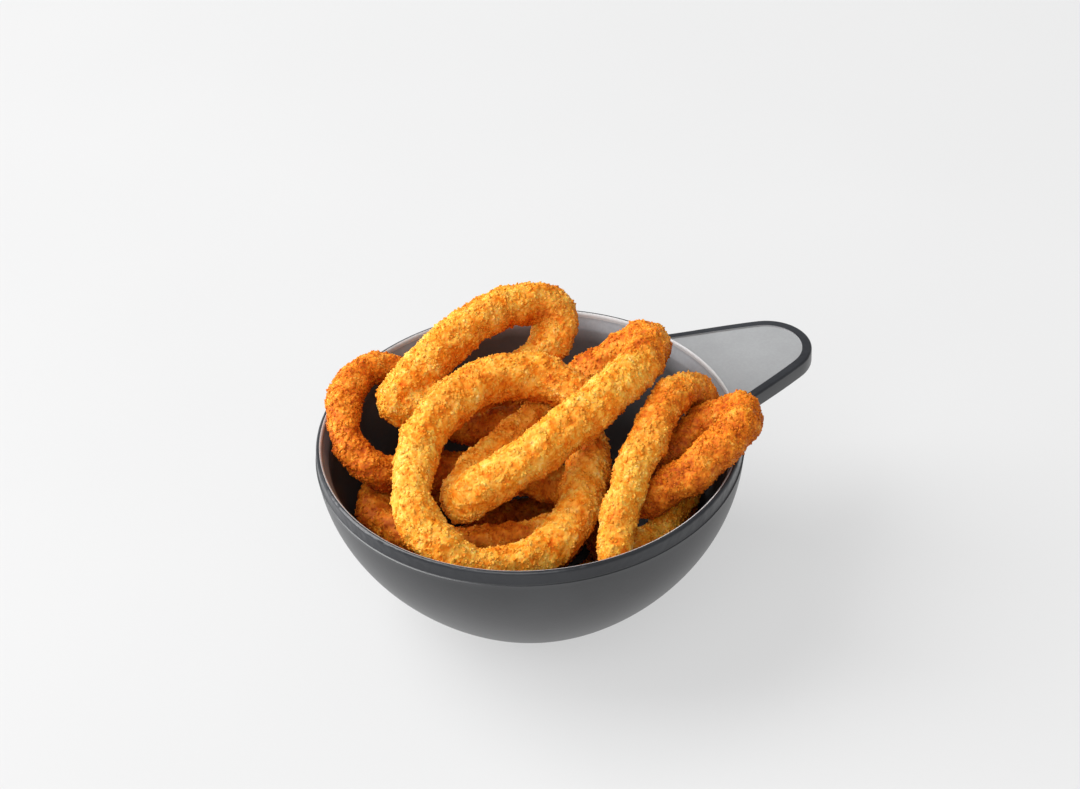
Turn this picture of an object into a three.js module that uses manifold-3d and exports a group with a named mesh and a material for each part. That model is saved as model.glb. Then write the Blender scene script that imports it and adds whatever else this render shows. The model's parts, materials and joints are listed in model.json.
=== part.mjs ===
// A side bowl of breaded onion rings. Millimetres, +Z up; the bowl's tab handle points along +X.
// The origin is the centre of the bowl's flat base, the face it rests on.
import * as THREE from "three";
import { ImprovedNoise } from "three/addons/math/ImprovedNoise.js";
import { mergeVertices } from "three/addons/utils/BufferGeometryUtils.js";
import Module from "manifold-3d";

const wasm = await Module();
wasm.setup();

const { degToRad, clamp, lerp } = THREE.MathUtils;
const vector2 = (x, y) => new THREE.Vector2(x, y);

// ------------------------------------------------------------------ driving dimensions

const BOWL = {
  height: 61.5, // base to rim plane
  baseRadius: 25.5, // flat face it stands on
  baseRound: 1.2, // height over which the base turns into the side
  shoulderRadius: 65, // widest place of the side, just under the rim band
  shoulderDrop: 4.8, // from the rim plane down to the shoulder
  bandRadius: 64.5, // rim band, set back a little from the side under it
  bandStep: 0.35, // height of the slope from shoulder to band
  sidePower: 2.13, // how full the side is; 2 would be a parabola
  wall: 3.8,
  floor: 5,
  dishDepth: 0.86, // share of the height at which the inner wall turns into the floor
  dishCorner: 0.72, // share of the radius there at which the dish's curve is pulled to the floor
  lipInside: 62.7, // radius at which the lip turns down into the bowl
  lipRound: 1.1,
};

const HANDLE = {
  rootX: 58, // inside the bowl, so that tab and lip join
  rootHalfWidth: 22.9,
  rootSlope: 0.41, // how fast the long edges come together where they start
  rootReach: 8,
  endTurn: 70, // degrees of the round end on each side of its tip
  endReach: 12.8, // length over which the long edges straighten into the round end
  endRadius: 14.1,
  tipX: 98.1,
  thickness: 5.4,
  edgeRound: 1.2,
  borderSide: 2.5, // dark border round the light field on top
  borderTip: 3.1,
  fieldSink: 0.5, // the field lies this much under the border and the rim
};

// The heap's own front faces away from the handle's by this many degrees.
const HEAP_TURN = -25.5;

// Each ring: the centre of its loop and its half axes to the middle of the crust, then how it lies:
// heading and climb of the long axis, and roll about that axis, 0 lying flat and 90 on edge.
// egg makes the head end of the loop wider and the tail narrower, swell does so to the crust.
// droop is how far the tail end hangs under the plane of the loop.
// gapAt and gapWidth, in degrees round the loop, break a ring open.
// weight says how little a ring gives way: those at the bottom are pressed down by the others.
const RINGS = {
  ring_front: {
    ...{ at: [-6.5, -21, 57.6], long: 35, short: 26.5, thick: 13.2, swell: 0.06 },
    ...{ heading: 62, climb: 9.5, roll: 22, droop: 2.5, gapAt: -26, gapWidth: 20 },
  },
  ring_top: {
    ...{ at: [8.5, -4.5, 70.6], long: 39, short: 15, thick: 13.8, egg: 0.25 },
    ...{ heading: 41, climb: 12, roll: -34 },
  },
  ring_back: {
    ...{ at: [-16, 29, 64.5], long: 30, short: 9.5, thick: 13.2, egg: 0.4 },
    ...{ heading: 33, climb: 7, roll: 54 },
  },
  ring_left: {
    ...{ at: [-42.5, 15, 56.5], long: 20, short: 14.5, thick: 11, weight: 3 },
    ...{ heading: 82, climb: 13, roll: 34 },
  },
  ring_upright: {
    ...{ at: [40, -18, 57.5], long: 32, short: 8, thick: 11.4, egg: 0.3, weight: 2 },
    ...{ heading: 62, climb: 13, roll: 78 },
  },
  ring_right: {
    ...{ at: [43.8, -24.6, 57.2], long: 21.5, short: 11, thick: 12.2 },
    ...{ heading: 34, climb: 21, roll: -26 },
  },
  ring_low_left: {
    ...{ at: [-22, -12.5, 47.5], long: 31.5, short: 19, thick: 12.2, weight: 0.5 },
    ...{ heading: 0, climb: -4, roll: 0 },
  },
  ring_low_right: {
    ...{ at: [29, -6, 28], long: 23, short: 14, thick: 12, weight: 0.1 },
    ...{ heading: 80, climb: 0, roll: -20 },
  },
  ring_low_back: {
    ...{ at: [-5, 26, 50.5], long: 24, short: 10.5, thick: 12, weight: 0.8 },
    ...{ heading: 8, climb: -2, roll: -14 },
  },
  ring_deep: {
    ...{ at: [-8, 4, 25], long: 29, short: 23, thick: 12, weight: 0.1 },
    ...{ heading: 0, climb: -8, roll: -4 },
  },
  ring_floor: {
    ...{ at: [2, 0, 12.5], long: 23, short: 20, thick: 12, weight: 0.1 },
    ...{ heading: 0, climb: 0, roll: 0 },
  },
};

// A crust is thicker here and thinner there: shares of its thickness, in waves round the loop.
const SWELLS = [
  { share: 0.05, waves: 3 },
  { share: 0.03, waves: 5 },
];

// Unevenness of the crusts, mm high and mm across.
const LUMPS = { height: 0.9, across: 9 };
const CRAGS = { height: 0.45, across: 3.2 };

// How the rings settle against each other and the bowl.
const CRUST_GAP = 1.35; // between two crusts' mean surfaces, mm, so that their crags stay clear
const EVEN_REACH = 4; // stations to each side over which a shift is spread
const HOME_PULL = 0.995; // below 1, a ring creeps back to where it was laid
const SETTLE_ROUNDS = 140;

// Fineness of the faceted solids.
const BOWL_FACETS = { around: 60, side: 10, lip: 5, inside: 9, dish: 4 };
const RING_FACETS = { around: 12, along: 34 };
const TAB_FACETS = { edge: 8, bevel: 2 };
const STATIONS = 36; // places along a ring at which it settles

// ------------------------------------------------------------------ solids

// A closed three.js geometry as a manifold solid.
function solid(geometry) {
  const bare = new THREE.BufferGeometry();
  bare.setAttribute("position", geometry.getAttribute("position"));
  bare.setIndex(geometry.index);
  const merged = mergeVertices(bare, 1e-4);
  return new wasm.Manifold(
    new wasm.Mesh({
      numProp: 3,
      vertProperties: merged.attributes.position.array,
      triVerts: new Uint32Array(merged.index.array),
    }),
  );
}

// A manifold solid as a named mesh of one material.
function node(name, made, material) {
  const mesh = made.getMesh();
  const geometry = new THREE.BufferGeometry();
  geometry.setAttribute("position", new THREE.BufferAttribute(mesh.vertProperties, 3));
  geometry.setIndex(new THREE.BufferAttribute(mesh.triVerts, 1));
  geometry.computeVertexNormals();
  const result = new THREE.Mesh(geometry, material);
  result.name = name;
  return result;
}

// ------------------------------------------------------------------ bowl

// Outside radius of the side at a depth under the rim plane.
function sideRadius(depth) {
  const { height, baseRadius, shoulderRadius, sidePower } = BOWL;
  return baseRadius + (shoulderRadius - baseRadius) * (1 - (depth / height) ** sidePower);
}

// The side from shoulder down to a depth, as [radius, height], moved inward along its normal.
function sideCurve(inward, steps, deepest) {
  const { height, shoulderDrop } = BOWL;
  return Array.from({ length: steps + 1 }, (_, i) => {
    const depth = lerp(shoulderDrop, deepest, i / steps);
    const nudge = 0.05;
    const steep = sideRadius(depth + nudge) - sideRadius(depth - nudge);
    const normal = vector2(2 * nudge, steep).normalize();
    return vector2(sideRadius(depth), height - depth).addScaledVector(normal, -inward);
  });
}

// The inner wall from the lip to the middle of the floor.
function insideCurve() {
  const wall = sideCurve(BOWL.wall, BOWL_FACETS.inside, BOWL.height * BOWL.dishDepth);
  const foot = wall[wall.length - 1];
  const corner = vector2(foot.x * BOWL.dishCorner, BOWL.floor);
  const dish = new THREE.QuadraticBezierCurve(foot, corner, vector2(0, BOWL.floor));
  return [...wall, ...dish.getPoints(BOWL_FACETS.dish).slice(1)];
}

// The rounded lip from band to inner wall.
function lipCurve() {
  const { height, bandRadius, lipInside, lipRound } = BOWL;
  const lip = new THREE.EllipseCurve(
    ...[(bandRadius + lipInside) / 2, height - lipRound],
    ...[(bandRadius - lipInside) / 2, lipRound],
    ...[0, Math.PI],
  );
  return lip.getPoints(BOWL_FACETS.lip);
}

// A profile of [radius, height] turned round the bowl's axis.
function turned(profile) {
  return solid(new THREE.LatheGeometry(profile, BOWL_FACETS.around).rotateX(Math.PI / 2));
}

function bowlBody() {
  const { height, baseRadius, baseRound, bandRadius, shoulderDrop, bandStep } = BOWL;
  const side = sideCurve(0, BOWL_FACETS.side, height - baseRound).reverse();
  const band = vector2(bandRadius, height - shoulderDrop + bandStep);
  return turned([vector2(0, 0), vector2(baseRadius, 0), ...side, band, ...lipCurve(), ...insideCurve()]);
}

// The space inside the bowl and over it, which the tab must leave clear.
function bowlSpace() {
  const { height, lipInside } = BOWL;
  const above = 2 * height;
  const rise = [height, above].map((z) => vector2(lipInside, z));
  return turned([...insideCurve().reverse(), ...rise, vector2(0, above)]);
}

// The tab's outline seen from above, taken in at its sides and its tip.
function tabOutline(inSide, inTip) {
  const { rootX, rootHalfWidth, rootSlope, rootReach, endTurn, endReach, endRadius, tipX } = HANDLE;
  const radius = endRadius - inSide;
  const middle = tipX - inTip - radius;
  const turn = degToRad(endTurn);
  const root = vector2(rootX, rootHalfWidth - inSide);
  const leave = root.clone().add(vector2(rootReach, -rootReach * rootSlope));
  const meet = vector2(middle + radius * Math.cos(turn), radius * Math.sin(turn));
  const arrive = meet.clone().add(vector2(-endReach, endReach / Math.tan(turn)));
  const outline = new THREE.Shape();
  outline.moveTo(root.x, root.y);
  outline.bezierCurveTo(leave.x, leave.y, arrive.x, arrive.y, meet.x, meet.y);
  outline.absarc(middle, 0, radius, turn, -turn, true);
  outline.bezierCurveTo(arrive.x, -arrive.y, leave.x, -leave.y, root.x, -root.y);
  outline.closePath();
  return outline;
}

// A slab of the tab's outline between two heights, its edges rounded.
function tabSlab(inSide, inTip, bottom, top, round) {
  const slab = new THREE.ExtrudeGeometry(tabOutline(inSide + round, inTip + round), {
    depth: top - bottom - 2 * round,
    bevelEnabled: round > 0,
    bevelThickness: round,
    bevelSize: round,
    bevelSegments: TAB_FACETS.bevel,
    curveSegments: TAB_FACETS.edge,
  });
  return solid(slab.translate(0, 0, bottom + round));
}

// The bowl with its tab handle, one piece; the light field is sunk into the tab and the lip at it.
function bowlSolid() {
  const { thickness, edgeRound, borderSide, borderTip, fieldSink } = HANDLE;
  const rim = BOWL.height;
  const tab = tabSlab(0, 0, rim - thickness, rim, edgeRound);
  const field = tabSlab(borderSide, borderTip, rim - fieldSink, rim + thickness, 0);
  return bowlBody().add(tab.subtract(bowlSpace())).subtract(field);
}

// ------------------------------------------------------------------ rings

// The directions of a ring's long axis, its short axis and across its loop.
function loopAxes({ heading, climb, roll }) {
  const turn = degToRad(heading);
  const rise = degToRad(climb);
  const along = new THREE.Vector3(Math.cos(turn), Math.sin(turn), Math.tan(rise)).normalize();
  const across = new THREE.Vector3(-Math.sin(turn), Math.cos(turn), 0);
  across.applyAxisAngle(along, degToRad(roll));
  return { along, across, normal: along.clone().cross(across) };
}

// Centre line of a ring as it was laid, before it settles.
function loopPoint(ring, angle) {
  const { along, across, normal } = loopAxes(ring);
  const { egg = 0, droop = 0 } = ring;
  const tail = (1 - Math.cos(angle)) / 2;
  return new THREE.Vector3(...ring.at)
    .addScaledVector(along, ring.long * Math.cos(angle))
    .addScaledVector(across, ring.short * (1 + egg * Math.cos(angle)) * Math.sin(angle))
    .addScaledVector(normal, -droop * tail ** 2);
}

// A ring as a strand of stations with the crust's radius at each, open if the ring has a gap.
function strandOf([name, ring], order) {
  const { thick, swell = 0, gapAt = 0, gapWidth = 0, weight = 1 } = ring;
  const closed = gapWidth === 0;
  const step = (360 - gapWidth) / (closed ? STATIONS : STATIONS - 1);
  const angles = Array.from({ length: STATIONS }, (_, i) => degToRad(gapAt + gapWidth / 2 + step * i));
  const laid = angles.map((angle) => loopPoint(ring, angle));
  const uneven = (angle) =>
    SWELLS.reduce((sum, { share, waves }, i) => sum + share * Math.sin(waves * angle + (i + 1) * order), 1);
  const radius = angles.map((angle) => (thick / 2) * (1 + swell * Math.cos(angle)) * uneven(angle));
  const points = laid.map((point) => point.clone());
  return { name, order, closed, weight, laid, points, radius, normal: loopAxes(ring).normal };
}

// Moves two strands' stations apart where their crusts would touch.
function pushApart(one, other) {
  const share = other.weight / (one.weight + other.weight);
  one.points.forEach((p, i) => {
    other.points.forEach((q, j) => {
      const between = p.clone().sub(q);
      const lack = one.radius[i] + other.radius[j] + CRUST_GAP - between.length();
      if (lack <= 0) return;
      between.setLength(lack);
      p.addScaledVector(between, share);
      q.addScaledVector(between, share - 1);
    });
  });
}

// How far a place [radius, height] has to move to lie clear of a stretch of the inner wall.
function offWall(spot, from, to, clear) {
  const run = to.clone().sub(from);
  const normal = vector2(run.y, -run.x).normalize();
  const beside = spot.clone().sub(from).dot(run) / run.lengthSq();
  const lack = clear - spot.clone().sub(from).dot(normal);
  const slack = 0.2; // share of a stretch by which it reaches over its ends
  return beside > -slack && beside < 1 + slack && lack > 0 ? normal.multiplyScalar(lack) : vector2(0, 0);
}

// Moves a strand's stations clear of the bowl's lip, inner wall and floor.
function pushInside(strand, wall) {
  const { height, bandRadius, lipInside, lipRound } = BOWL;
  const lip = vector2((bandRadius + lipInside) / 2, height - lipRound);
  strand.points.forEach((p, i) => {
    const clear = strand.radius[i] + CRUST_GAP;
    const out = Math.hypot(p.x, p.y);
    const spot = vector2(out, p.z);
    const move = vector2(0, 0);
    if (spot.y > lip.y) {
      const away = spot.clone().sub(lip);
      move.copy(away).setLength(Math.max(clear + lipRound - away.length(), 0));
    } else {
      for (let k = 1; k < wall.length; k++) {
        move.add(offWall(spot.clone().add(move), wall[k - 1], wall[k], clear));
      }
    }
    p.add(new THREE.Vector3((move.x * p.x) / out, (move.x * p.y) / out, move.y));
  });
}

// Evens out how far a strand's stations have moved, so that it shifts as a whole or bends gently.
function evenOut({ points, laid, closed }) {
  const moved = points.map((point, i) => point.clone().sub(laid[i]));
  const last = moved.length - 1;
  const movedAt = (i) => moved[closed ? (i + moved.length) % moved.length : clamp(i, 0, last)];
  points.forEach((point, i) => {
    const mean = new THREE.Vector3();
    for (let k = -EVEN_REACH; k <= EVEN_REACH; k++) mean.add(movedAt(i + k));
    point.copy(laid[i]).addScaledVector(mean, HOME_PULL / (2 * EVEN_REACH + 1));
  });
}

// Lets the rings find their places against each other and the bowl.
function settle(strands) {
  const wall = insideCurve();
  for (let round = 0; round < SETTLE_ROUNDS; round++) {
    strands.forEach(evenOut);
    for (const pass of [0, 1]) {
      const turns = pass ? [...strands].reverse() : strands;
      turns.forEach((one, i) => turns.slice(i + 1).forEach((other) => pushApart(one, other)));
      turns.forEach((strand) => pushInside(strand, wall));
    }
  }
}

// A settled strand's centre, crust radius and directions at a share of its length.
function strandFrame({ points, radius, closed, normal }, line, share) {
  const ahead = line.getTangent(share);
  const side = ahead.clone().cross(normal).normalize();
  const station = share * (closed ? points.length : points.length - 1);
  const low = Math.floor(station) % points.length;
  const high = closed ? (low + 1) % points.length : Math.min(low + 1, points.length - 1);
  const thick = lerp(radius[low], radius[high], station - Math.floor(station));
  return { centre: line.getPoint(share), ahead, side, up: side.clone().cross(ahead), thick };
}

// The crust: a torus, or a capsule for a broken ring, laid along the strand and made craggy.
function crustSolid(strand) {
  const { points, closed, order } = strand;
  const { around, along } = RING_FACETS;
  const noise = new ImprovedNoise();
  const line = new THREE.CatmullRomCurve3(points, closed);
  const crust = closed
    ? new THREE.TorusGeometry(2, 1, around, along)
    : new THREE.CapsuleGeometry(1, along, 3, around, along);
  const position = crust.getAttribute("position");
  for (let i = 0; i < position.count; i++) {
    const { x, y, z } = new THREE.Vector3().fromBufferAttribute(position, i);
    const share = closed ? (Math.atan2(y, x) / (2 * Math.PI) + 1) % 1 : y / along + 0.5;
    const onLine = clamp(share, 0, 1);
    const { centre, ahead, side, up, thick } = strandFrame(strand, line, onLine);
    const outward = side.multiplyScalar(closed ? Math.hypot(x, y) - 2 : x);
    outward.addScaledVector(up, z).addScaledVector(ahead, (share - onLine) * along);
    const spot = centre.addScaledVector(outward, thick);
    for (const { height, across } of [LUMPS, CRAGS]) {
      const at = spot.clone().divideScalar(across);
      spot.addScaledVector(outward, height * noise.noise(at.x + order, at.y, at.z));
    }
    position.setXYZ(i, spot.x, spot.y, spot.z);
  }
  return solid(crust);
}

// ------------------------------------------------------------------ assembly

const glaze = new THREE.MeshStandardMaterial({ name: "dark_glaze", color: 0x4b4c4f, roughness: 0.55 });
const crumb = new THREE.MeshStandardMaterial({ name: "crumb_crust", color: 0xdc8a2e, roughness: 0.85 });

const strands = Object.entries(RINGS).map(strandOf);
settle(strands);
const heap = new THREE.Group();
heap.rotation.z = degToRad(HEAP_TURN);
strands.forEach((strand) => heap.add(node(strand.name, crustSolid(strand), crumb)));

const root = new THREE.Group();
root.name = "onion_rings_side";
root.add(node("bowl", bowlSolid(), glaze), heap);

export default root;
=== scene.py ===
"""A side bowl of breaded onion rings, dressed for rendering.

Everything is in metres in the part's own frame: +Z up, the bowl's tab handle along +X,
the origin at the centre of the bowl's base.
"""

import json
import math

import bmesh
import bpy
from mathutils import Matrix, Vector

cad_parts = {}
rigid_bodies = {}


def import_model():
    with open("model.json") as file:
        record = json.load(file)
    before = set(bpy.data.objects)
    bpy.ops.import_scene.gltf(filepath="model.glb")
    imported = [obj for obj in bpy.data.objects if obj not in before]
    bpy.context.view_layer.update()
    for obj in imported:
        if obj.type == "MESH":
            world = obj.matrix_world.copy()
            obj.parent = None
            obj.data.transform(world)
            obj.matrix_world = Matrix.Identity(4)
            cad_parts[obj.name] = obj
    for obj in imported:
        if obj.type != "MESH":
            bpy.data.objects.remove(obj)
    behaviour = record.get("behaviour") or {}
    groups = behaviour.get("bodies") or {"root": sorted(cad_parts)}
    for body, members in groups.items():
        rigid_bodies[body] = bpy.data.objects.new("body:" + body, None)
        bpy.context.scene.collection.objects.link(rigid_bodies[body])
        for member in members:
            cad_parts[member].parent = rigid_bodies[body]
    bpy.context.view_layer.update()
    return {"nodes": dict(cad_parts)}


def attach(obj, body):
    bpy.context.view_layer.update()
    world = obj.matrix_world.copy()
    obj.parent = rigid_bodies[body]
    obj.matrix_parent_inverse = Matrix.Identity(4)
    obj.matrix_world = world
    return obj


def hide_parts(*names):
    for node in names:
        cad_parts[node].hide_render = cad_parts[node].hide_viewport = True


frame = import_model()

MM = 0.001

# ---------------------------------------------------------------- sizes, millimetres

RIM = 61.5
BASE_RADIUS = 25.5
SHOULDER_RADIUS = 65.0
SHOULDER_DROP = 4.8
BAND_RADIUS = 64.5
SIDE_POWER = 2.13
SIDE_FOOT = 1.2  # the side ends this high, where the rounding to the base begins
WALL = 3.8
FLOOR = 5.0
LIP_INSIDE = 62.7
BAND_DROP = 1.2  # the band under the rim ends this far under it
LIP_ROUND = 1.1  # height of the lip's rounding
WALL_REACH = 0.86  # share of the height at which the inner wall passes into the rounded floor
DISH_CORNER = 0.72  # share of the radius there at which that rounding is pulled to the floor

TAB_THICKNESS = 5.4
TAB_REACH = 98.1  # from the bowl's middle
TAB_TOP_ROUND = 1.2
TAB_UNDER_ROUND = 1.6
TAB_TIP_RADIUS = 14.1
TAB_TIP_TURN = 70  # degrees that the tip's arc runs to either side
TAB_ROOT = (56.0, 23.7)  # where a side of the tab starts, inside the wall
TAB_ROOT_SLOPE = 0.41
TAB_ROOT_PULL = 8.0  # how far along X a side's curve keeps the slope at its root
TAB_TIP_PULL = 12.8  # and how far back from the tip it keeps the arc's direction
TAB_BORDER = 2.5
TAB_TIP_BORDER = 3.1
FIELD_SINK = 0.5

# The rings that show, whose crumbs are finest, and those that lie under them.
UPPER_RINGS = ["ring_front", "ring_top", "ring_back", "ring_left", "ring_upright", "ring_right"]
LOWER_RINGS = ["ring_low_left", "ring_low_right", "ring_low_back", "ring_deep", "ring_floor"]
LARGE_RINGS = ["ring_front", "ring_top"]

# The grid on which a crust is laid, and how many loose crumbs lie on a square millimetre of it.
UPPER_GRID = 0.36
LARGE_GRID = 0.41
LOWER_GRID = 0.5
UPPER_LOOSE = 0.6
LOWER_LOOSE = 0.35


# ---------------------------------------------------------------- mesh helpers


def new_piece(name, mesh):
    """A finished piece that rides on the part's one body."""
    piece = bpy.data.objects.new(name, mesh)
    bpy.context.scene.collection.objects.link(piece)
    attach(piece, "root")
    return piece


def scratch(name, mesh):
    """A working object that is removed once its shape has been used."""
    made = bpy.data.objects.new(name, mesh)
    bpy.context.scene.collection.objects.link(made)
    return made


def evaluated_mesh(obj):
    """The object's mesh with its modifiers applied."""
    bpy.context.view_layer.update()
    graph = bpy.context.evaluated_depsgraph_get()
    return bpy.data.meshes.new_from_object(obj.evaluated_get(graph), depsgraph=graph)


def mesh_from(shape, name):
    """A new mesh from a finished bmesh, which is freed."""
    mesh = bpy.data.meshes.new(name)
    shape.to_mesh(mesh)
    shape.free()
    return mesh


def remove(obj):
    """Removes an object, and its mesh if nothing else uses it."""
    mesh = obj.data
    bpy.data.objects.remove(obj)
    if mesh.users == 0:
        bpy.data.meshes.remove(mesh)


# ---------------------------------------------------------------- material helpers


def new_material(name, roughness):
    material = bpy.data.materials.new(name)
    material.use_nodes = True
    tree = material.node_tree
    shader = tree.nodes["Principled BSDF"]
    shader.inputs["Roughness"].default_value = roughness
    return material, tree, shader


def feed(tree, socket, value):
    """Links another node's output to a socket, or sets the socket's own value."""
    if isinstance(value, bpy.types.NodeSocket):
        tree.links.new(value, socket)
    else:
        socket.default_value = value


def node(tree, kind, inputs=None, **settings):
    """A new node with its settings made and its inputs fed, by name or by number."""
    made = tree.nodes.new(kind)
    for key, value in settings.items():
        setattr(made, key, value)
    for key, value in (inputs or {}).items():
        feed(tree, made.inputs[key], value)
    return made


def colour(red, green, blue):
    """An sRGB colour from 0 to 255 as linear RGBA."""

    def linear(value):
        share = value / 255
        return share / 12.92 if share <= 0.04045 else ((share + 0.055) / 1.055) ** 2.4

    return (linear(red), linear(green), linear(blue), 1.0)


def object_coordinates(tree):
    return node(tree, "ShaderNodeTexCoord").outputs["Object"]


def noise(tree, place, size, detail=2.0, roughness=0.5):
    """Noise whose features are about this many millimetres across."""
    made = node(
        tree,
        "ShaderNodeTexNoise",
        {"Vector": place, "Scale": 1 / (size * MM), "Detail": detail, "Roughness": roughness},
    )
    return made.outputs["Fac"]


def ramp(tree, value, *stops):
    """A colour ramp from (place, colour) stops."""
    made = node(tree, "ShaderNodeValToRGB", {"Fac": value})
    elements = made.color_ramp.elements
    while len(elements) < len(stops):
        elements.new(0.5)
    for element, (place, shade) in zip(elements, stops):
        element.position = place
        element.color = shade
    return made.outputs["Color"]


def mixed(tree, factor, first, second, blend="MIX"):
    """Two colours mixed; 0, 6 and 7 are the mix node's factor and its two colour inputs."""
    inputs = {0: factor, 6: first, 7: second}
    return node(tree, "ShaderNodeMix", inputs, data_type="RGBA", blend_type=blend).outputs[2]


def maths(tree, operation, first, second=0.0, clamp=False):
    inputs = {0: first, 1: second}
    return node(tree, "ShaderNodeMath", inputs, operation=operation, use_clamp=clamp).outputs[0]


def bump(tree, height, distance, strength=1.0):
    """A bump from a height, whose full swing is this many millimetres."""
    inputs = {"Height": height, "Distance": distance * MM, "Strength": strength}
    return node(tree, "ShaderNodeBump", inputs).outputs["Normal"]


# ---------------------------------------------------------------- glazes

# The size of a glaze's clouds, of its fine tooth and of the ripples in it, and the tooth's height.
CLOUD_SIZE = 22
TOOTH_SIZE = 0.9
RIPPLE_SIZE = 3.5
TOOTH_HEIGHT = 0.015

# The inner wall's painted shade: where it is darkest, how far up it fades, and the waves of its edge.
PAINTED_SHADE_BOTTOM = 32
PAINTED_SHADE_HEIGHT = 34
PAINTED_SHADE_WAVE_SIZE = 16
PAINTED_SHADE_WAVE_HEIGHT = 8


def matte_glaze(name, dark, light, roughness, speck=0.15, uneven=0.0):
    """A dull glaze, mottled at two scales, with a fine tooth that breaks up its shine.

    uneven is the height in millimetres of the hand-made ripples that its highlights show.
    """
    material, tree, shader = new_material(name, roughness)
    place = object_coordinates(tree)
    cloud = noise(tree, place, CLOUD_SIZE, detail=4)
    tooth = noise(tree, place, TOOTH_SIZE, detail=3)
    shade = ramp(tree, cloud, (0.3, dark), (0.7, light))
    specks = ramp(tree, tooth, (0.42, (0.75, 0.75, 0.75, 1)), (0.62, (1.2, 1.2, 1.2, 1)))
    shade = mixed(tree, speck, shade, mixed(tree, 1.0, shade, specks, "MULTIPLY"))
    tree.links.new(shade, shader.inputs["Base Color"])
    height = maths(tree, "MULTIPLY", tooth, TOOTH_HEIGHT)
    if uneven:
        ripples = maths(tree, "MULTIPLY", noise(tree, place, RIPPLE_SIZE, detail=1), uneven)
        height = maths(tree, "ADD", height, ripples)
    tree.links.new(bump(tree, height, 1.0), shader.inputs["Normal"])
    return material


def inside_glaze(name):
    """The inner wall's glaze, light below the lip, with painted shade that darkens it toward the bottom."""
    material = matte_glaze(name, colour(140, 143, 147), colour(156, 158, 161), 0.42)
    tree = material.node_tree
    shader = tree.nodes["Principled BSDF"]
    unshaded = shader.inputs["Base Color"].links[0].from_socket
    place = object_coordinates(tree)
    height = node(tree, "ShaderNodeSeparateXYZ", {0: place}).outputs["Z"]
    waves = maths(tree, "MULTIPLY", noise(tree, place, PAINTED_SHADE_WAVE_SIZE), PAINTED_SHADE_WAVE_HEIGHT * MM)
    above = maths(tree, "SUBTRACT", maths(tree, "ADD", height, waves), PAINTED_SHADE_BOTTOM * MM)
    up_wall = maths(tree, "DIVIDE", above, PAINTED_SHADE_HEIGHT * MM)
    # Painted shade: the wall's colour is multiplied darker toward the bottom of the bowl.
    painted_shade = ramp(tree, up_wall, (0.0, colour(84, 78, 74)), (0.7, colour(142, 138, 136)), (0.9, (1, 1, 1, 1)))
    shade = mixed(tree, 1.0, unshaded, painted_shade, "MULTIPLY")
    tree.links.new(shade, shader.inputs["Base Color"])
    return material


OUTSIDE_GLAZE = matte_glaze("outside_glaze", colour(32, 33, 36), colour(45, 46, 49), 0.36)
OUTSIDE_GLAZE.node_tree.nodes["Principled BSDF"].inputs["Specular IOR Level"].default_value = 0.8
LIP_GLAZE = matte_glaze("lip_glaze", colour(34, 35, 39), colour(46, 48, 52), 0.28, uneven=0.3)
LIP_LINE_GLAZE = matte_glaze("lip_line_glaze", colour(178, 177, 177), colour(198, 197, 196), 0.4)
INSIDE_GLAZE = inside_glaze("inside_glaze")
FIELD_GLAZE = matte_glaze("field_glaze", colour(145, 146, 147), colour(158, 159, 160), 0.42, 0.1)


# ---------------------------------------------------------------- bowl


def side_radius(depth):
    """Outside radius of the side at a depth under the rim plane."""
    return BASE_RADIUS + (SHOULDER_RADIUS - BASE_RADIUS) * (1 - (depth / RIM) ** SIDE_POWER)


def side_point(depth, inward):
    """A point [radius, height] of the side, moved inward along its normal."""
    steep = (side_radius(depth + 0.05) - side_radius(depth - 0.05)) / 0.1
    length = math.hypot(1, steep)
    return side_radius(depth) - inward / length, RIM - depth - inward * steep / length


def arc(centre_r, centre_z, wide, high, start, end, steps):
    """Points of an upright ellipse's arc between two angles in degrees."""
    angles = [math.radians(start + (end - start) * i / steps) for i in range(steps + 1)]
    return [(centre_r + wide * math.cos(a), centre_z + high * math.sin(a)) for a in angles]


def outside_profile():
    """The base, the rounded side and the small step at the shoulder, from the middle outward."""
    base = [(0, 0), (BASE_RADIUS - 2, 0), (BASE_RADIUS - 0.6, 0.06), (BASE_RADIUS + 0.4, 0.45)]
    span = RIM - SIDE_FOOT - SHOULDER_DROP
    side = [side_point(SHOULDER_DROP + span * i / 40, 0) for i in range(40, -1, -1)]
    shoulder = RIM - SHOULDER_DROP
    step = [(SHOULDER_RADIUS - 0.1, shoulder + 0.22), (BAND_RADIUS + 0.06, shoulder + 0.38)]
    return base + side + step


def lip_arc(start, end):
    """A stretch of the lip's rounding between two angles, 90 being its top."""
    middle = (BAND_RADIUS + LIP_INSIDE) / 2
    half = (BAND_RADIUS - LIP_INSIDE) / 2
    return arc(middle, RIM - LIP_ROUND, half, LIP_ROUND, start, end, 8)


def lip_profile():
    """The band under the rim and the rounded lip, up to where it turns light."""
    band = [(BAND_RADIUS, RIM - SHOULDER_DROP + 0.6), (BAND_RADIUS, RIM - BAND_DROP)]
    return band + lip_arc(12, 94)


def lip_line_profile():
    """The light line on the lip's inner side."""
    return lip_arc(100, 180)


def inside_profile():
    """The inner wall and the rounded floor."""
    wall = [(LIP_INSIDE - 0.02, RIM - 1.5), (LIP_INSIDE - 0.3, RIM - 2.5)]
    span = RIM * WALL_REACH - SHOULDER_DROP
    wall += [side_point(SHOULDER_DROP + span * i / 36, WALL) for i in range(37)]
    foot_radius, foot_height = wall[-1]
    corner = foot_radius * DISH_CORNER
    dish = []
    for i in range(1, 13):
        t = i / 12
        radius = foot_radius * (1 - t) ** 2 + 2 * corner * t * (1 - t)
        height = foot_height * (1 - t) ** 2 + FLOOR * (2 * t * (1 - t) + t * t)
        dish.append((radius, height))
    return wall + dish


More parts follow.
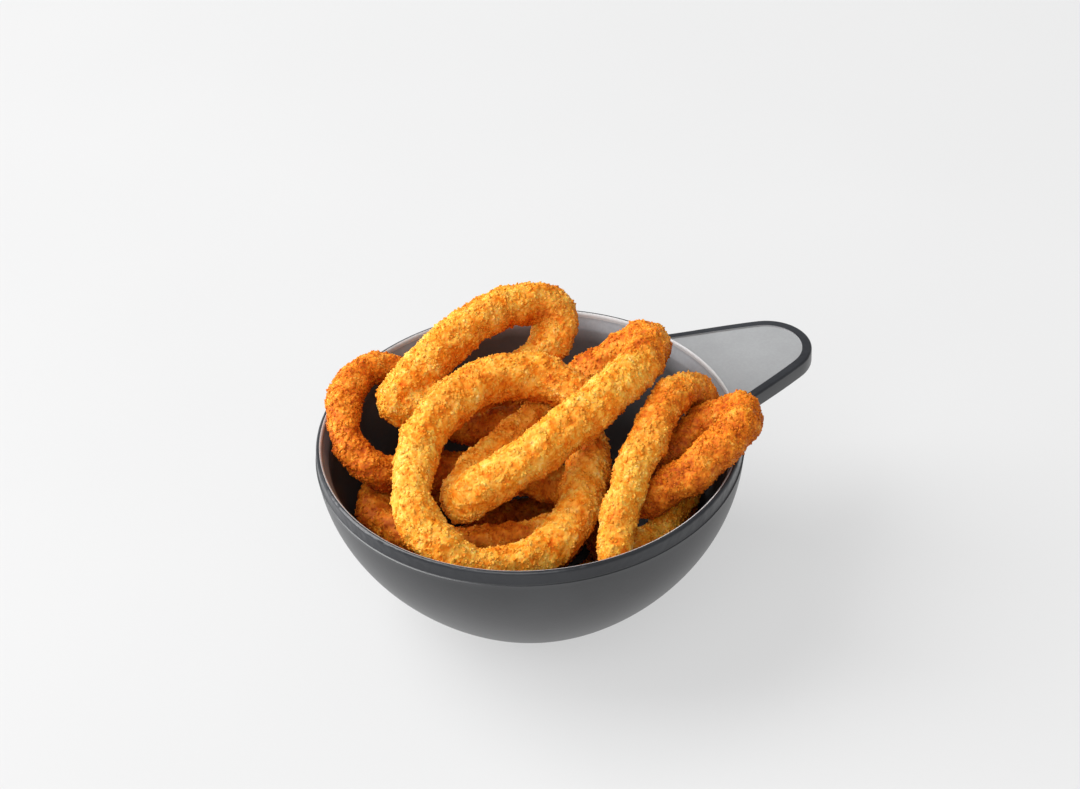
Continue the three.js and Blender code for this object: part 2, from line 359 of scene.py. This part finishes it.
def turned(name, stretches, steps=180):
    """Stretches of [radius, height] in millimetres, each of its own material, spun to a closed shape."""
    shape = bmesh.new()
    for index, stretch in enumerate(stretches):
        before = set(shape.faces)
        # Each stretch runs on to where the next one starts.
        points = stretch + [following[0] for following in stretches[index + 1 : index + 2]]
        row = [shape.verts.new((radius * MM, 0, height * MM)) for radius, height in points]
        edges = [shape.edges.new(pair) for pair in zip(row, row[1:])]
        bmesh.ops.spin(
            shape,
            geom=row + edges,
            axis=(0, 0, 1),
            cent=(0, 0, 0),
            angle=2 * math.pi,
            steps=steps,
            use_merge=True,
        )
        for face in set(shape.faces) - before:
            face.material_index = index
    bmesh.ops.remove_doubles(shape, verts=shape.verts, dist=0.01 * MM)
    bmesh.ops.recalc_face_normals(shape, faces=shape.faces)
    return mesh_from(shape, name)


def tab_outline(in_side, in_tip):
    """The tab's outline seen from above in millimetres, taken in at its sides and its tip."""
    radius = TAB_TIP_RADIUS - in_side
    middle = TAB_REACH - in_tip - radius
    turn = math.radians(TAB_TIP_TURN)
    root = Vector((TAB_ROOT[0], TAB_ROOT[1] - in_side))
    leave = root + Vector((TAB_ROOT_PULL, -TAB_ROOT_PULL * TAB_ROOT_SLOPE))
    meet = Vector((middle + radius * math.cos(turn), radius * math.sin(turn)))
    arrive = meet + Vector((-TAB_TIP_PULL, TAB_TIP_PULL / math.tan(turn)))
    edge = []
    for i in range(24):
        t = i / 24
        weights = ((1 - t) ** 3, 3 * t * (1 - t) ** 2, 3 * t * t * (1 - t), t**3)
        pulled = [w * p for w, p in zip(weights, (root, leave, arrive, meet))]
        edge.append(sum(pulled, Vector((0, 0))))
    tip = [turn - 2 * turn * i / 48 for i in range(49)]
    end = [Vector((middle + radius * math.cos(a), radius * math.sin(a))) for a in tip]
    back = [Vector((p.x, -p.y)) for p in reversed(edge)]
    return edge + end + back


def slab(name, outline, bottom, top, round_top, round_bottom):
    """A flat slab of an outline between two heights, its upper and lower edges rounded."""
    shape = bmesh.new()
    ring = [shape.verts.new((p.x * MM, p.y * MM, bottom * MM)) for p in outline]
    base = shape.faces.new(ring)
    risen = bmesh.ops.extrude_face_region(shape, geom=[base], use_keep_orig=True)
    lifted = [v for v in risen["geom"] if isinstance(v, bmesh.types.BMVert)]
    bmesh.ops.translate(shape, verts=lifted, vec=(0, 0, (top - bottom) * MM))
    bmesh.ops.recalc_face_normals(shape, faces=shape.faces)
    for height, size in ((top, round_top), (bottom, round_bottom)):
        if size:
            level = [e for e in shape.edges if all(abs(v.co.z - height * MM) < 1e-6 for v in e.verts)]
            bmesh.ops.bevel(
                shape,
                geom=level,
                offset=size * MM,
                offset_type="OFFSET",
                affect="EDGES",
                segments=5,
                profile=0.5,
                material=-1,
                clamp_overlap=True,
            )
    return mesh_from(shape, name)


def combine(body, other, operation):
    """Adds one scratch object to another or cuts it out of it."""
    joint = body.modifiers.new(operation, "BOOLEAN")
    joint.operation = operation
    joint.object = other
    joint.solver = "EXACT"
    joint.material_mode = "TRANSFER"
    mesh = evaluated_mesh(body)
    body.modifiers.remove(joint)
    old = body.data
    body.data = mesh
    bpy.data.meshes.remove(old)
    remove(other)


def make_tab():
    """The tab handle as a scratch slab, its top in the lip's glaze and the rest in the side's."""
    outline = tab_outline(0, 0)
    mesh = slab("tab", outline, RIM - TAB_THICKNESS, RIM, TAB_TOP_ROUND, TAB_UNDER_ROUND)
    mesh.materials.append(LIP_GLAZE)
    mesh.materials.append(OUTSIDE_GLAZE)
    for face in mesh.polygons:
        face.material_index = 0 if face.center.z > (RIM - TAB_TOP_ROUND - 0.1) * MM else 1
    return scratch("tab", mesh)


def make_bowl():
    """The bowl: a turned body with the tab joined on and the tab's field cut into it."""
    glazes = [OUTSIDE_GLAZE, LIP_GLAZE, LIP_LINE_GLAZE, INSIDE_GLAZE]
    stretches = [outside_profile(), lip_profile(), lip_line_profile(), inside_profile()]
    body = scratch("turned_bowl", turned("turned_bowl", stretches))
    for glaze in glazes:
        body.data.materials.append(glaze)

    tab = make_tab()
    above = RIM + 20
    inner_outline = tab_outline(TAB_BORDER, TAB_TIP_BORDER)
    field = scratch("field", slab("field", inner_outline, RIM - FIELD_SINK, above, 0, 0))
    field.data.materials.append(FIELD_GLAZE)

    # The tab stops inside the wall, and the light inner edge of the lip runs on past its field.
    reach = LIP_INSIDE + 0.6
    low, high = RIM - 10, above + 1
    disc = [(0.0, low), (reach, low), (reach, high), (0.0, high)]
    for target in (tab, field):
        core = scratch("core", turned("core", [disc]))
        core.data.materials.append(FIELD_GLAZE)
        combine(target, core, "DIFFERENCE")

    combine(body, tab, "UNION")
    combine(body, field, "DIFFERENCE")

    mesh = body.data
    mesh.set_sharp_from_angle(angle=math.radians(32))
    for face in mesh.polygons:
        face.use_smooth = True
    piece = new_piece("side_bowl", mesh)
    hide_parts("bowl")
    bpy.data.objects.remove(body)


make_bowl()


# ---------------------------------------------------------------- crumb crust


def crumb_material(name, glow):
    """Fried breadcrumb: golden on the crumbs' tops and orange between them, browner in patches.
    The orange between the crumbs is partly painted shade in their crevices.

    The attribute that holds its browning and painted shade is 0 or less for a pale golden ring, 1 for
    a well browned one and 2 for the dull ones at the bottom of the heap, which are dark partly as
    painted shade; undersides get painted shade through it too. glow is the share of light that spreads
    inside.
    """
    material, tree, shader = new_material(name, 0.6)
    place = object_coordinates(tree)
    relief = node(tree, "ShaderNodeAttribute", attribute_name="relief").outputs["Fac"]
    tone = node(tree, "ShaderNodeAttribute", attribute_name="tone").outputs["Fac"]
    browning = node(tree, "ShaderNodeAttribute", attribute_name="browning").outputs["Fac"]

    def swing(value, width):
        """A value from 0 to 1 as a change of at most half of width either way."""
        return maths(tree, "MULTIPLY", maths(tree, "SUBTRACT", value, 0.5), width)

    height = maths(tree, "ADD", relief, swing(tone, 0.3))
    height = maths(tree, "ADD", height, swing(noise(tree, place, 0.7), 0.18))
    height = maths(tree, "ADD", height, swing(noise(tree, place, 4.0, detail=3, roughness=0.55), 1.2))

    # Lower heights take darker colours: partly painted shade in the crevices between crumbs.
    def crust(deep, low, high, crest):
        return ramp(tree, height, (0.0, deep), (0.34, low), (0.66, high), (1.0, crest))

    golden = crust(colour(222, 100, 6), colour(238, 142, 29), colour(244, 183, 75), colour(247, 212, 131))
    browned = crust(colour(138, 46, 3), colour(202, 98, 12), colour(234, 138, 32), colour(248, 186, 86))
    # The dull colours are partly painted shade, for the rings that lie low in the heap.
    dull_and_shaded = crust(colour(92, 28, 1), colour(152, 60, 5), colour(194, 98, 17), colour(224, 146, 58))
    share = maths(tree, "ADD", browning, swing(noise(tree, place, 12), 2.8), clamp=True)
    dull_and_shaded_share = maths(tree, "SUBTRACT", browning, 1.0, clamp=True)
    shade = mixed(tree, dull_and_shaded_share, mixed(tree, share, golden, browned), dull_and_shaded)
    tree.links.new(shade, shader.inputs["Base Color"])
    shader.inputs["Specular IOR Level"].default_value = 0.15
    shader.inputs["Subsurface Weight"].default_value = glow
    shader.inputs["Subsurface Radius"].default_value = (1.0, 0.5, 0.15)
    shader.inputs["Subsurface Scale"].default_value = 1.0 * MM
    tooth = bump(tree, noise(tree, place, 0.28), 0.04, 0.4)
    tree.links.new(tooth, shader.inputs["Normal"])
    return material


CRUMB_CRUST = crumb_material("crumb_crust", 0.6)
LOOSE_CRUMB = crumb_material("loose_crumb", 0.0)

# The crumbs that cover a crust, large and small: their size, how far they dome and how unevenly
# they stand. Then the size, height and detail of the grit on them and of the soft lumps under
# them, and the size and reach of the sway that keeps them from being even. Millimetres, but for
# the detail.
LARGE_CRUMBS = (1.1, 0.3, 0.2)
SMALL_CRUMBS = (0.56, 0.13, 0.08)
GRIT = (0.4, 0.14, 1.0)
WIDE_LUMPS = (9.0, 4.0, 2.0)
NARROW_LUMPS = (3.2, 1.6, 2.0)
SWAY_SIZE = 1.1
SWAY_REACH = 0.9

# Width and height of the loose crumbs, millimetres, and the least and most they are scaled by.
CRUMB_SIZES = [(0.95, 0.7), (0.75, 0.75), (1.3, 0.5), (0.9, 0.55), (1.1, 0.4)]
CRUMB_SCALES = (0.4, 1.15)

# How browned each ring is, the dull rings low in the heap darker partly as painted shade, and its
# darker side: the direction in which the ring grows browner past its middle, partly as painted shade
# where it lies in shade, within how many millimetres it does so, and by how much.
BROWNING_AND_SHADE = {
    "ring_front": (-0.35, ((0.94, 0.33, 0), 24, 0.6)),
    "ring_top": (-0.3, ((0.43, 0.9, -0.4), 5, 1.1)),
    "ring_back": (-0.35, ((0.9, -0.43, 0), 22, 0.5)),
    "ring_left": (1.05, ((0, 0, -1), 12, 0.5)),
    "ring_upright": (-0.05, ((0.3, 0.8, 0), 10, 0.8)),
    "ring_right": (1.05, ((-0.3, 0.7, -0.6), 8, 0.7)),
    "ring_low_left": (0.6, ((-0.9, 0.43, 0), 22, 0.9)),
    "ring_low_right": (2.0, ((0, 0, -1), 14, 0.5)),
    "ring_low_back": (0.8, ((0, 0, -1), 14, 0.4)),
    "ring_deep": (1.3, ((0, 0, -1), 14, 0.4)),
    "ring_floor": (1.5, ((0, 0, -1), 14, 0.3)),
}


def crumb_shapes():
    """A few chunky loose crumbs, as a collection of scratch objects."""
    shelf = bpy.data.collections.new("crumb_shapes")
    for index, (wide, high) in enumerate(CRUMB_SIZES):
        shape = bmesh.new()
        bmesh.ops.create_cube(shape, size=1.0)
        for v in shape.verts:
            turn = v.index * 2.399 + index * 1.7
            v.co *= 0.85 + 0.3 * math.sin(3.1 * turn) * math.cos(1.7 * turn + index)
        bmesh.ops.scale(shape, verts=shape.verts, vec=(wide * MM, wide * 0.75 * MM, high * MM))
        name = f"crumb_{index}"
        shelf.objects.link(bpy.data.objects.new(name, mesh_from(shape, name)))
    return shelf


class Nodes:
    """Short words for building a geometry node tree."""

    def __init__(self, name):
        self.tree = bpy.data.node_groups.new(name, "GeometryNodeTree")
        self.tree.interface.new_socket("Geometry", in_out="INPUT", socket_type="NodeSocketGeometry")
        self.tree.interface.new_socket("Geometry", in_out="OUTPUT", socket_type="NodeSocketGeometry")
        self.source = self.tree.nodes.new("NodeGroupInput").outputs[0]
        self.result = self.tree.nodes.new("NodeGroupOutput").inputs[0]

    def add(self, kind, inputs=None, **settings):
        return node(self.tree, kind, inputs, **settings)

    def maths(self, operation, first, second=0.0, third=0.0, clamp=False):
        inputs = {0: first, 1: second, 2: third}
        return self.add("ShaderNodeMath", inputs, operation=operation, use_clamp=clamp).outputs[0]

    def vector(self, operation, first, second):
        return self.add("ShaderNodeVectorMath", {0: first, 1: second}, operation=operation).outputs[0]

    def scaled(self, vector, scale):
        inputs = {0: vector, "Scale": scale}
        return self.add("ShaderNodeVectorMath", inputs, operation="SCALE").outputs[0]

    def random(self, least, most, seed):
        """A node that gives each point a random number between two values."""
        inputs = {2: least, 3: most, "Seed": seed}
        return self.add("FunctionNodeRandomValue", inputs, data_type="FLOAT")

    def store(self, geometry, name, value):
        """The geometry with a number stored on each of its points."""
        return self.add(
            "GeometryNodeStoreNamedAttribute",
            {"Geometry": geometry, "Name": name, "Value": value},
            data_type="FLOAT",
            domain="POINT",
        ).outputs["Geometry"]


def crumb_coat(name, seed, browned, middle, per_mm2, shapes):
    """Geometry nodes that raise a crumb crust on a smooth ring and scatter loose crumbs on it."""
    browning, (direction, reach, extra) = browned
    n = Nodes(name)
    place = n.add("GeometryNodeInputPosition").outputs[0]
    normal = n.add("GeometryNodeInputNormal").outputs[0]
    shift = n.vector("ADD", place, (0.37 * seed, 0.11 * seed, 0.05 * seed))

    # Crumbs are never even: their pattern is pushed about before it is laid out.
    sway = n.add("ShaderNodeTexNoise", {"Vector": shift, "Scale": 1 / (SWAY_SIZE * MM), "Detail": 2.0})
    pushed = n.vector("SUBTRACT", sway.outputs["Color"], (0.5, 0.5, 0.5))
    grain = n.vector("ADD", shift, n.scaled(pushed, SWAY_REACH * MM))

    def cells(size, dome, step):
        """Crumbs of one size, domed and of uneven height, and each one's own random number."""
        made = n.add("ShaderNodeTexVoronoi", {"Vector": grain, "Scale": 1 / (size * MM)}, feature="F1")
        own = n.add("FunctionNodeSeparateColor", {0: made.outputs["Color"]}).outputs[0]
        domed = n.maths("MULTIPLY", n.maths("SUBTRACT", 0.5, made.outputs["Distance"]), dome)
        raised = n.maths("MULTIPLY", n.maths("SUBTRACT", own, 0.5), step)
        return n.maths("ADD", domed, raised), own

    def lumps(size, high, detail):
        """Soft unevenness of one size."""
        made = n.add("ShaderNodeTexNoise", {"Vector": shift, "Scale": 1 / (size * MM), "Detail": detail})
        return n.maths("MULTIPLY", n.maths("SUBTRACT", made.outputs[0], 0.5), high)

    large, large_own = cells(*LARGE_CRUMBS)
    small, small_own = cells(*SMALL_CRUMBS)
    crumbs = n.maths("ADD", n.maths("ADD", large, small), lumps(*GRIT))
    height = n.maths("ADD", crumbs, n.maths("ADD", lumps(*WIDE_LUMPS), lumps(*NARROW_LUMPS)))
    offset = n.scaled(normal, n.maths("MULTIPLY", height, MM))

    relief = n.maths("MULTIPLY_ADD", crumbs, 0.65, 0.47)
    tone = n.maths("ADD", n.maths("MULTIPLY", large_own, 0.5), n.maths("MULTIPLY", small_own, 0.5))
    base = n.store(n.source, "relief", relief)
    base = n.store(base, "tone", tone)

    # The crust gets painted shade on its underside, and grows browner toward its darker side, partly
    # as painted shade.
    along = n.add(
        "ShaderNodeVectorMath",
        {0: n.vector("SUBTRACT", place, middle), 1: Vector(direction).normalized()},
        operation="DOT_PRODUCT",
    ).outputs["Value"]
    side = n.maths("MULTIPLY_ADD", along, 0.5 / (reach * MM), 0.5, clamp=True)
    upward = n.add("ShaderNodeSeparateXYZ", {0: normal}).outputs["Z"]
    # Painted shade: the crust is darker where it faces down.
    under = n.maths("MULTIPLY_ADD", upward, -0.8, 0.36, clamp=True)
    browned_and_shaded = n.maths("MULTIPLY_ADD", side, extra, n.maths("ADD", under, browning))
    base = n.store(base, "browning", browned_and_shaded)
    base = n.add("GeometryNodeSetPosition", {"Geometry": base, "Offset": offset}).outputs[0]

    # Loose crumbs stand on the crust at every slant.
    points = n.add(
        "GeometryNodeDistributePointsOnFaces",
        {"Mesh": base, "Density": per_mm2 / (MM * MM), "Seed": seed},
        distribute_method="RANDOM",
    )
    picked = n.add("GeometryNodeCollectionInfo", {"Collection": shapes, "Separate Children": True})
    slant = n.add(
        "FunctionNodeRandomValue",
        {0: (-0.9, -0.9, -3.1), 1: (0.9, 0.9, 3.1), "Seed": seed + 5},
        data_type="FLOAT_VECTOR",
    ).outputs[0]
    turned_by = n.add(
        "FunctionNodeRotateRotation",
        {"Rotation": points.outputs["Rotation"], "Rotate By": slant},
        rotation_space="LOCAL",
    ).outputs[0]
    size = n.random(*CRUMB_SCALES, seed + 9)
    placed = n.add(
        "GeometryNodeInstanceOnPoints",
        {
            "Points": points.outputs["Points"],
            "Instance": picked.outputs[0],
            "Pick Instance": True,
            "Rotation": turned_by,
            "Scale": n.add("ShaderNodeCombineXYZ", {i: size.outputs[1] for i in range(3)}).outputs[0],
        },
    ).outputs[0]
    own = n.random(0.1, 0.95, seed + 17)
    loose = n.add("GeometryNodeRealizeInstances", {"Geometry": placed}).outputs[0]
    island = n.add("GeometryNodeInputMeshIsland").outputs["Island Index"]
    n.tree.links.new(island, own.inputs["ID"])
    loose = n.store(loose, "tone", own.outputs[1])
    loose = n.store(loose, "relief", 0.5)
    loose = n.add("GeometryNodeSetMaterial", {"Geometry": loose, "Material": LOOSE_CRUMB}).outputs[0]
    base = n.add("GeometryNodeSetMaterial", {"Geometry": base, "Material": CRUMB_CRUST}).outputs[0]
    both = n.add("GeometryNodeJoinGeometry")
    n.tree.links.new(loose, both.inputs[0])
    n.tree.links.new(base, both.inputs[0])
    coated = n.add("GeometryNodeSetShadeSmooth", {0: both.outputs[0], "Shade Smooth": True}).outputs[0]
    n.tree.links.new(coated, n.result)
    return n.tree


def plain_copy(node_name):
    """A merged copy of a CAD node's mesh."""
    shape = bmesh.new()
    shape.from_mesh(frame["nodes"][node_name].data)
    bmesh.ops.remove_doubles(shape, verts=shape.verts, dist=0.01 * MM)
    return mesh_from(shape, node_name + "_plain")


def make_ring(node_name, seed, grid, per_mm2, shapes):
    """One ring: its CAD form rounded, given an even fine grid, and coated with crumbs."""
    work = scratch(node_name + "_work", plain_copy(node_name))
    points = [v.co for v in work.data.vertices]
    middle = sum(points, Vector()) / len(points)
    rounding = work.modifiers.new("rounding", "SUBSURF")
    rounding.levels = rounding.render_levels = 2
    even = work.modifiers.new("even", "REMESH")
    even.mode = "VOXEL"
    even.voxel_size = grid * MM
    coat = work.modifiers.new("coat", "NODES")
    browned = BROWNING_AND_SHADE[node_name]
    coat.node_group = crumb_coat(node_name + "_coat", seed, browned, middle, per_mm2, shapes)
    mesh = evaluated_mesh(work)
    remove(work)
    mesh.name = node_name + "_crust"
    piece = new_piece(node_name.replace("ring_", "onion_ring_"), mesh)
    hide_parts(node_name)


def make_rings():
    shapes = crumb_shapes()
    for seed, name in enumerate(UPPER_RINGS, start=1):
        grid = LARGE_GRID if name in LARGE_RINGS else UPPER_GRID
        make_ring(name, seed, grid, UPPER_LOOSE, shapes)
    for seed, name in enumerate(LOWER_RINGS, start=21):
        make_ring(name, seed, LOWER_GRID, LOWER_LOOSE, shapes)
    for obj in list(shapes.objects):
        remove(obj)
    bpy.data.collections.remove(shapes)


make_rings()


# ---------------------------------------------------------------- studio

CAMERA_AZIMUTH = -25.5
CAMERA_ELEVATION = 38.15
CAMERA_ROLL = -3.4
CAMERA_DISTANCE = 0.754
TARGET = Vector((0, 0, RIM * MM))

# The view in pixels: its focal length, its width, its middle and where the target falls in it.
FOCAL_LENGTH = 2500
VIEW_WIDTH = 1080
VIEW_MIDDLE = (540, 394.5)
TARGET_PLACE = (529.0, 431.7)
SENSOR_WIDTH = 36  # millimetres

FLOOR_HALF_SIZE = 4.0
FLOOR_GLOW = 0.53
SKY_LIGHT = 0.34
LIGHT_TARGET = Vector((0, 0, 0.04))

azimuth = math.radians(CAMERA_AZIMUTH)
elevation = math.radians(CAMERA_ELEVATION)
level = math.cos(elevation)
back = Vector((math.sin(azimuth) * level, -math.cos(azimuth) * level, math.sin(elevation)))
right = Vector((math.cos(azimuth), math.sin(azimuth), 0))
up = back.cross(right)
away = Vector((0, 0, 1)).cross(right)


def make_camera():
    roll = math.radians(CAMERA_ROLL)
    across = right * math.cos(roll) + up * math.sin(roll)
    upward = up * math.cos(roll) - right * math.sin(roll)
    camera = bpy.data.objects.new("camera", bpy.data.cameras.new("camera"))
    turn = Matrix((across, upward, back)).transposed().to_4x4()
    camera.matrix_world = Matrix.Translation(TARGET + back * CAMERA_DISTANCE) @ turn
    camera.data.sensor_width = SENSOR_WIDTH
    camera.data.lens = FOCAL_LENGTH / VIEW_WIDTH * SENSOR_WIDTH
    camera.data.shift_x = (VIEW_MIDDLE[0] - TARGET_PLACE[0]) / VIEW_WIDTH
    camera.data.shift_y = (TARGET_PLACE[1] - VIEW_MIDDLE[1]) / VIEW_WIDTH
    camera.data.clip_start = 0.05
    bpy.context.scene.collection.objects.link(camera)
    bpy.context.scene.camera = camera


def soft_light(name, place, size, power):
    """A square soft box at a place given as right, away and up in metres, facing the heap."""
    lamp = bpy.data.lights.new(name, "AREA")
    lamp.shape = "SQUARE"
    lamp.size = size
    lamp.energy = power
    made = bpy.data.objects.new(name, lamp)
    made.location = right * place[0] + away * place[1] + Vector((0, 0, place[2]))
    aim = LIGHT_TARGET - made.location
    made.rotation_mode = "QUATERNION"
    made.rotation_quaternion = aim.to_track_quat("-Z", "Y")
    bpy.context.scene.collection.objects.link(made)


def make_floor():
    """A wide pale floor that gives off light, as a lit table does."""
    shape = bmesh.new()
    bmesh.ops.create_grid(shape, x_segments=1, y_segments=1, size=FLOOR_HALF_SIZE)
    mesh = mesh_from(shape, "floor")
    floor = bpy.data.objects.new("floor", mesh)
    bpy.context.scene.collection.objects.link(floor)
    material, tree, shader = new_material("pale_floor", 0.7)
    cloud = noise(tree, object_coordinates(tree), 180)
    shade = ramp(tree, cloud, (0.3, colour(133, 133, 133)), (0.7, colour(136, 136, 136)))
    tree.links.new(shade, shader.inputs["Base Color"])
    shader.inputs["Specular IOR Level"].default_value = 0.1
    shader.inputs["Emission Color"].default_value = (1, 1, 1, 1)
    shader.inputs["Emission Strength"].default_value = FLOOR_GLOW
    mesh.materials.append(material)


def make_surroundings():
    """Even light from all round, and plain colours in the render."""
    world = bpy.data.worlds.new("studio")
    world.use_nodes = True
    sky = world.node_tree.nodes["Background"]
    sky.inputs["Color"].default_value = (0.98, 0.99, 1.0, 1)
    sky.inputs["Strength"].default_value = SKY_LIGHT
    bpy.context.scene.world = world
    bpy.context.scene.view_settings.view_transform = "Standard"


make_camera()
make_floor()
make_surroundings()
soft_light("key", (-1.5, 0.4, 2.0), 1.8, 67)
soft_light("fill", (-0.5, -1.9, 1.9), 1.9, 32)
soft_light("side", (-1.6, 0.2, 0.5), 0.9, 18)
